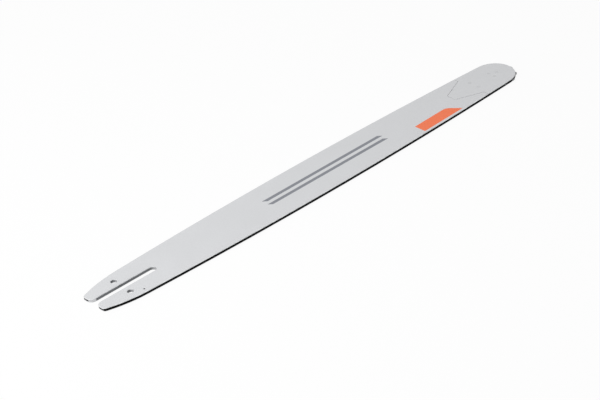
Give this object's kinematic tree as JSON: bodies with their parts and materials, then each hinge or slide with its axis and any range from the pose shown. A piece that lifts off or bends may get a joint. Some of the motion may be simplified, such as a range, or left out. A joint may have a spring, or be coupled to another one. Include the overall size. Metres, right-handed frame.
{
  "type": "chainsaw guide bar",
  "caption": "Long flat chainsaw guide bar with a grooved rail for the chain, an open stud slot at the tail and a riveted sprocket nose whose star wheel turns on rollers.",
  "frame": {"origin": "on the lower face, on the stud slot's centre line, midway between the two tensioner holes", "axes": "+X along the bar from the tail to the nose, +Y across the bar, +Z through the bar, up from the lower face"},
  "size_m": [0.705, 0.0768, 0.0046],
  "materials": {
    "bar_lacquer": "satin silver-grey lacquer on the faces, hardened rails left near black",
    "sprocket_steel": "blanked and hardened steel, grey, lightly oiled",
    "bearing_steel": "ground bearing steel",
    "rivet_steel": "steel rivets ground flush and lacquered over with the faces",
    "print_ink": "orange and grey screen print over the lacquer"
  },
  "bodies": {
    "bar": {"bar_body": "bar_lacquer", "upper_nose_cheek": "bar_lacquer", "lower_nose_cheek": "bar_lacquer", "bearing_race": "bearing_steel", "race_rivets": "rivet_steel", "nose_rivets": "rivet_steel"},
    "sprocket": {"nose_sprocket": "sprocket_steel"},
    "roller_set": {"bearing_roller_01": "bearing_steel", "bearing_roller_02": "bearing_steel", "bearing_roller_03": "bearing_steel", "bearing_roller_04": "bearing_steel", "bearing_roller_05": "bearing_steel", "bearing_roller_06": "bearing_steel", "bearing_roller_07": "bearing_steel", "bearing_roller_08": "bearing_steel", "bearing_roller_09": "bearing_steel", "bearing_roller_10": "bearing_steel", "bearing_roller_11": "bearing_steel", "bearing_roller_12": "bearing_steel", "bearing_roller_13": "bearing_steel", "bearing_roller_14": "bearing_steel", "bearing_roller_15": "bearing_steel", "bearing_roller_16": "bearing_steel", "bearing_roller_17": "bearing_steel", "bearing_roller_18": "bearing_steel", "bearing_roller_19": "bearing_steel", "bearing_roller_20": "bearing_steel", "bearing_roller_21": "bearing_steel", "bearing_roller_22": "bearing_steel", "bearing_roller_23": "bearing_steel", "bearing_roller_24": "bearing_steel"}
  },
  "joints": [
    {"name": "sprocket_spin", "type": "hinge", "parent": "bar", "child": "sprocket", "pos_m": [0.6314, 0, 0.0023], "axis": [0, 0, 1], "continuous": true},
    {"name": "roller_orbit", "type": "hinge", "parent": "bar", "child": "roller_set", "pos_m": [0.6314, 0, 0.0023], "axis": [0, 0, 1], "continuous": true}
  ],
  "couplings": [
    {"joint": "roller_orbit", "follows": "sprocket_spin", "ratio": 0.56549}
  ]
}
